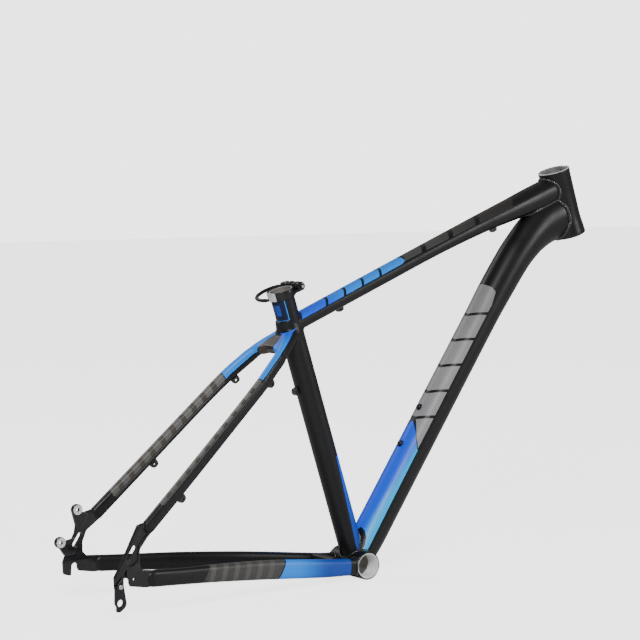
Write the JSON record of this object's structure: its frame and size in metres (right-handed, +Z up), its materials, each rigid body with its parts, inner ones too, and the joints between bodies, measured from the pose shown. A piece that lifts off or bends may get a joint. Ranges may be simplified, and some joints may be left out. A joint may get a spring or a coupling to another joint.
{
  "type": "bicycle frame",
  "caption": "Hardtail mountain bicycle frame of welded tubes with slotted dropouts, disc brake tabs, bolt-on derailleur hanger, cable guides and a quick-release seat clamp.",
  "frame": {"origin": "centre of the bottom bracket shell, on the bicycle's centre plane", "axes": "+X towards the front of the bicycle, +Y towards its left (non-drive) side, +Z up with the bicycle standing on level ground"},
  "size_m": [0.9172, 0.1561, 0.6102],
  "materials": {
    "black_paint": "satin black paint",
    "blue_paint": "blue metallic paint with black and grey blocks",
    "grey_paint": "satin dark paint with grey blocks",
    "black_anodised": "black anodised",
    "bare_metal": "machined, unpainted",
    "steel": "zinc plated",
    "black_steel": "black oxide",
    "black_plastic": "moulded",
    "brass": "plain"
  },
  "bodies": {
    "frame": {"bottom_bracket_shell": "bare_metal", "head_tube": "black_paint", "seat_tube": "black_paint", "top_tube": "blue_paint", "down_tube": "blue_paint", "seat_stay_yoke": "blue_paint", "seat_stay_left": "grey_paint", "seat_stay_right": "grey_paint", "chainstay_left": "black_paint", "chainstay_right": "black_paint", "chainstay_bridge": "black_paint", "dropout_left": "black_paint", "dropout_right": "black_paint", "derailleur_hanger": "black_anodised", "hanger_screw": "steel", "bottle_insert_lower": "black_anodised", "bottle_insert_upper": "black_anodised", "bottle_screw_lower": "black_steel", "bottle_screw_upper": "black_steel", "stay_guide_left_upper": "black_paint", "stay_guide_left_lower": "black_paint", "stay_guide_right_upper": "black_paint", "stay_guide_right_lower": "black_paint", "top_tube_guide_rear": "black_paint", "top_tube_guide_front": "black_paint", "seat_tube_guide": "black_paint"},
    "seat_clamp": {"clamp_collar": "black_anodised", "cam_saddle": "black_plastic", "clamp_washer": "brass", "clamp_skewer": "steel", "lever_pivot_pin": "steel"},
    "clamp_lever": {"quick_release_lever": "black_anodised"},
    "adjusting_nut": {"clamp_nut": "black_anodised"}
  },
  "joints": [
    {"name": "clamp_turn", "type": "hinge", "parent": "frame", "child": "seat_clamp", "pos_m": [-0.13093, 0, 0.41156], "axis": [-0.3074, 0, 0.9516], "continuous": true},
    {"name": "lever_pivot", "type": "hinge", "parent": "seat_clamp", "child": "clamp_lever", "pos_m": [-0.10795, 0.022, 0.41688], "axis": [0.3074, 0, -0.9516], "range_deg": [0, 150]},
    {"name": "nut_turn", "type": "hinge", "parent": "seat_clamp", "child": "adjusting_nut", "pos_m": [-0.10795, -0.0174, 0.41688], "axis": [0, -1, 0], "continuous": true}
  ]
}
